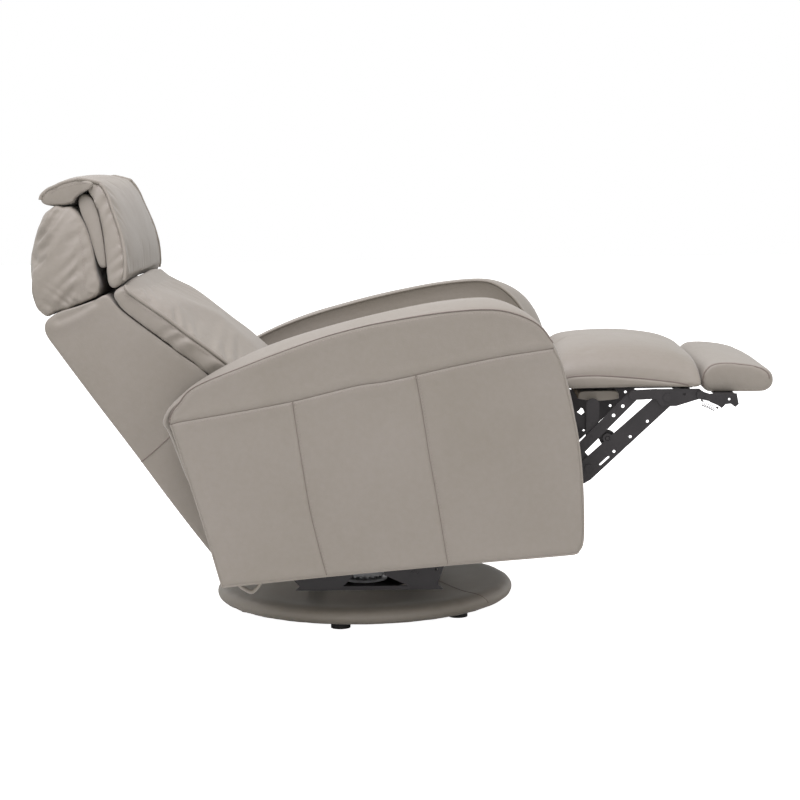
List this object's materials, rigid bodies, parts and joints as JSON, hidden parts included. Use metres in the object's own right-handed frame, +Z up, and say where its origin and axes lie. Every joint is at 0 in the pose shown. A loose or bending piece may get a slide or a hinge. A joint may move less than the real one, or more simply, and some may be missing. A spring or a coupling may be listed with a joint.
{
  "type": "swivel glider recliner armchair",
  "caption": "Leather recliner armchair on a round upholstered swivel base, with glide links, folding legrest and tilting head section.",
  "frame": {"origin": "floor level, on the swivel axis, midway under the base disc", "axes": "+X towards the sitter's feet, +Z up, the sitter's right side at -Y"},
  "size_m": [1.494, 0.836, 0.9224],
  "materials": {
    "leather": "taupe grained upholstery leather, soft satin sheen",
    "black_steel": "black powder-coated pressed steel",
    "zinc": "bright zinc plating",
    "plywood": "raw plywood",
    "black_cloth": "black non-woven cloth and elastic webbing",
    "black_plastic": "matt black nylon"
  },
  "bodies": {
    "base": {"base_disc": "leather", "base_underside": "black_cloth", "base_glides": "black_plastic", "swivel_lower_ring": "zinc", "swivel_balls": "zinc"},
    "platform": {"swivel_upper_ring": "zinc", "swivel_bolt": "zinc", "platform_frame": "black_steel", "left_platform_plate": "black_steel", "right_platform_plate": "black_steel"},
    "rear_glide_links": {"left_rear_glide_link": "black_steel", "right_rear_glide_link": "black_steel"},
    "front_glide_links": {"left_front_glide_link": "black_steel", "right_front_glide_link": "black_steel"},
    "seat": {"left_side_plate": "black_steel", "right_side_plate": "black_steel", "left_arm": "leather", "right_arm": "leather", "arm_spacers": "black_steel", "left_seat_rail": "plywood", "right_seat_rail": "plywood", "front_seat_rail": "plywood", "rear_seat_rail": "plywood", "seat_webbing": "black_cloth", "seat_cushion": "leather", "seat_rivets": "black_steel"},
    "back": {"back_shell": "leather", "back_cushion": "leather", "left_back_plate": "black_steel", "right_back_plate": "black_steel", "headrest_hinges": "black_steel"},
    "headrest": {"headrest_pillow": "leather", "headrest_board": "leather", "headrest_cushion": "leather", "headrest_hood": "leather", "headrest_knuckles": "black_steel"},
    "lift_links": {"left_lift_link": "black_steel", "right_lift_link": "black_steel", "lift_rivets": "black_steel"},
    "ottoman_links": {"left_ottoman_link": "black_steel", "right_ottoman_link": "black_steel", "ottoman_link_rivets": "black_steel"},
    "cross_links": {"left_cross_link": "black_steel", "right_cross_link": "black_steel"},
    "top_links": {"left_top_link": "black_steel", "right_top_link": "black_steel", "gap_board": "leather", "gap_board_brackets": "black_steel"},
    "ottoman": {"left_ottoman_bracket": "black_steel", "right_ottoman_bracket": "black_steel", "ottoman_cross_tube": "black_steel", "ottoman_underside": "black_cloth", "ottoman_pad": "leather", "ottoman_rivets": "black_steel"},
    "foot": {"left_foot_arm": "black_steel", "right_foot_arm": "black_steel", "foot_pad": "leather", "foot_springs": "zinc"}
  },
  "joints": [
    {"name": "swivel", "type": "hinge", "parent": "base", "child": "platform", "pos_m": [0, 0, 0.055], "axis": [0, 0, 1], "continuous": true},
    {"name": "glide", "type": "hinge", "parent": "platform", "child": "rear_glide_links", "pos_m": [-0.098, 0, 0.162], "axis": [0, -1, 0], "range_deg": [0, 24]},
    {"name": "glide_seat", "type": "hinge", "parent": "rear_glide_links", "child": "seat", "pos_m": [-0.078, 0, 0.101], "axis": [0, -1, 0], "range_deg": [-29.4, 0]},
    {"name": "glide_front", "type": "hinge", "parent": "platform", "child": "front_glide_links", "pos_m": [0.136, 0, 0.17], "axis": [0, -1, 0], "range_deg": [0, 20.4]},
    {"name": "recline", "type": "hinge", "parent": "seat", "child": "back", "pos_m": [-0.228, 0, 0.392], "axis": [0, 1, 0], "range_deg": [0, 20]},
    {"name": "headrest_tilt", "type": "hinge", "parent": "back", "child": "headrest", "pos_m": [-0.606, 0, 0.648], "axis": [0, -1, 0], "range_deg": [0, 24]},
    {"name": "legrest", "type": "hinge", "parent": "seat", "child": "lift_links", "pos_m": [0.356, 0, 0.454], "axis": [0, 1, 0], "range_deg": [0, 102.31]},
    {"name": "cross_link_turn", "type": "hinge", "parent": "seat", "child": "cross_links", "pos_m": [0.378, 0, 0.463], "axis": [0, 1, 0], "range_deg": [0, 103.2]},
    {"name": "ottoman_link_turn", "type": "hinge", "parent": "lift_links", "child": "ottoman_links", "pos_m": [0.465, 0, 0.322], "axis": [0, 1, 0], "range_deg": [-31.3, 0]},
    {"name": "top_link_turn", "type": "hinge", "parent": "lift_links", "child": "top_links", "pos_m": [0.436, 0, 0.349], "axis": [0, 1, 0], "range_deg": [-36.6, 0]},
    {"name": "ottoman_turn", "type": "hinge", "parent": "ottoman_links", "child": "ottoman", "pos_m": [0.622, 0, 0.463], "axis": [0, 1, 0], "range_deg": [0, 19]},
    {"name": "foot_pad_flip", "type": "hinge", "parent": "ottoman", "child": "foot", "pos_m": [0.688, 0, 0.468], "axis": [0, 1, 0], "range_deg": [0, 90.1]}
  ],
  "couplings": [
    {"joint": "glide_seat", "follows": "glide", "ratio": -1.2213},
    {"joint": "glide_front", "follows": "glide", "ratio": 0.8462},
    {"joint": "cross_link_turn", "follows": "legrest", "ratio": 1.0077},
    {"joint": "ottoman_link_turn", "follows": "legrest", "ratio": -0.30476},
    {"joint": "top_link_turn", "follows": "legrest", "ratio": -0.3562},
    {"joint": "ottoman_turn", "follows": "legrest", "ratio": 0.18503},
    {"joint": "foot_pad_flip", "follows": "legrest", "ratio": 0.87968}
  ]
}
